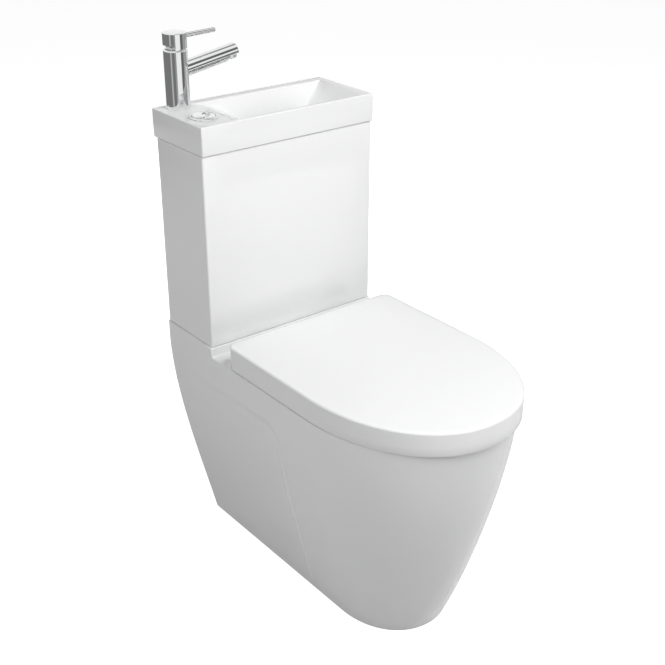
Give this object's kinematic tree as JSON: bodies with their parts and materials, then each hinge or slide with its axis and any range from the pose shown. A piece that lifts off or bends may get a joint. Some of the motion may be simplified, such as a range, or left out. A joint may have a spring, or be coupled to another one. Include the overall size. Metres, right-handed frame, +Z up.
{
  "type": "toilet with hand basin on the cistern",
  "caption": "Close-coupled floor-standing toilet with soft-close seat and lid, dual flush, and a hand basin with lever tap on top of its cistern.",
  "frame": {"origin": "On the floor, at the middle of the outer box's footprint, with the wall side at +Y.", "axes": "+Z up, +X to the right of someone facing the toilet, +Y towards the wall."},
  "size_m": [0.368, 0.682, 0.987],
  "materials": {
    "ceramic": "glossy white glaze",
    "seat_plastic": "glossy white moulding",
    "tap_chrome": "polished chrome",
    "hinge_chrome": "polished chrome",
    "steel": "plain bright steel",
    "brass": "plain brass",
    "seal_rubber": "black rubber",
    "buffer_rubber": "pale soft rubber",
    "red_rubber": "red soft rubber",
    "inner_plastic": "white moulding",
    "grey_plastic": "grey moulding",
    "blue_plastic": "blue moulding",
    "black_plastic": "black sheath"
  },
  "bodies": {
    "body": {"pan": "ceramic", "pan_deck": "ceramic", "pan_bowl": "ceramic", "pan_trapway": "ceramic", "cistern": "ceramic", "basin": "ceramic", "basin_strip": "seal_rubber", "cistern_pads": "seal_rubber", "hinge_blocks": "hinge_chrome", "hinge_pins": "steel", "dampers": "inner_plastic", "hinge_studs": "steel", "hinge_washers": "seal_rubber", "hinge_nuts": "inner_plastic", "coupling_bolts": "steel", "coupling_washers": "seal_rubber", "coupling_nuts": "steel", "coupling_seal": "seal_rubber", "flush_valve_base": "inner_plastic", "flush_valve_washer": "seal_rubber", "flush_valve_nut": "inner_plastic", "flush_valve_cage": "blue_plastic", "flush_cables": "black_plastic", "fill_valve_riser": "inner_plastic", "fill_valve_head": "blue_plastic", "fill_valve_nut": "inner_plastic", "fill_valve_washer": "seal_rubber", "button_bezel": "tap_chrome", "button_nut": "inner_plastic", "waste_flange": "tap_chrome", "waste_washer": "seal_rubber", "waste_nut": "steel", "tap_base_ring": "tap_chrome", "tap_body": "tap_chrome", "tap_spout": "tap_chrome", "aerator_shell": "tap_chrome", "aerator_insert": "grey_plastic", "cartridge": "grey_plastic", "cartridge_nut": "brass", "tap_dome": "tap_chrome", "tap_stud": "steel", "tap_fixing": "brass"},
    "seat": {"seat": "seat_plastic", "seat_buffers": "buffer_rubber"},
    "lid": {"lid": "seat_plastic", "lid_buffers": "buffer_rubber"},
    "full_button": {"button_full": "tap_chrome", "button_spring_full": "steel"},
    "half_button": {"button_half": "tap_chrome", "button_spring_half": "steel"},
    "flush_valve": {"overflow_tube": "inner_plastic", "valve_seal": "red_rubber"},
    "half_slider": {"half_flush_slider": "blue_plastic"},
    "float": {"fill_float": "inner_plastic"},
    "arm": {"float_arm": "inner_plastic"},
    "turning_core": {"cartridge_yoke": "inner_plastic"},
    "handle": {"cartridge_stem": "grey_plastic", "tap_handle": "tap_chrome", "tap_lever": "tap_chrome", "handle_screw": "steel"}
  },
  "joints": [
    {"name": "seat_hinge", "type": "hinge", "parent": "body", "child": "seat", "pos_m": [0, 0.149, 0.453], "axis": [1, 0, 0], "range_deg": [-90, 0]},
    {"name": "lid_hinge", "type": "hinge", "parent": "seat", "child": "lid", "pos_m": [0, 0.149, 0.453], "axis": [-1, 0, 0], "range_deg": [0, 90]},
    {"name": "full_button_push", "type": "slide", "parent": "body", "child": "full_button", "axis": [0, 0, -1], "range_m": [0, 0.004], "stiffness_N_per_m": 250, "springref_m": -0.004, "deforming": ["button_spring_full"]},
    {"name": "half_button_push", "type": "slide", "parent": "body", "child": "half_button", "axis": [0, 0, -1], "range_m": [0, 0.004], "stiffness_N_per_m": 250, "springref_m": -0.004, "deforming": ["button_spring_half"]},
    {"name": "valve_lift", "type": "slide", "parent": "body", "child": "flush_valve", "axis": [0, 0, 1], "range_m": [0, 0.012]},
    {"name": "half_slider_lift", "type": "slide", "parent": "body", "child": "half_slider", "axis": [0, 0, 1], "range_m": [0, 0.012]},
    {"name": "float_fall", "type": "slide", "parent": "body", "child": "float", "axis": [0, 0, 1], "range_m": [-0.01, 0]},
    {"name": "arm_swing", "type": "hinge", "parent": "body", "child": "arm", "pos_m": [0.099, 0.26275, 0.6642], "axis": [0, 1, 0], "range_deg": [-27, 0]},
    {"name": "tap_turn", "type": "hinge", "parent": "body", "child": "turning_core", "pos_m": [-0.144, 0.315, 0.9435], "axis": [0, 0, 1], "range_deg": [-90, 15]},
    {"name": "tap_lift", "type": "hinge", "parent": "turning_core", "child": "handle", "pos_m": [-0.144, 0.315, 0.9435], "axis": [0, -1, 0], "range_deg": [0, 13]}
  ],
  "couplings": [
    {"joint": "valve_lift", "follows": "full_button_push", "ratio": 3},
    {"joint": "half_slider_lift", "follows": "half_button_push", "ratio": 3},
    {"joint": "arm_swing", "follows": "float_fall", "rad_per_m": 45.45}
  ]
}
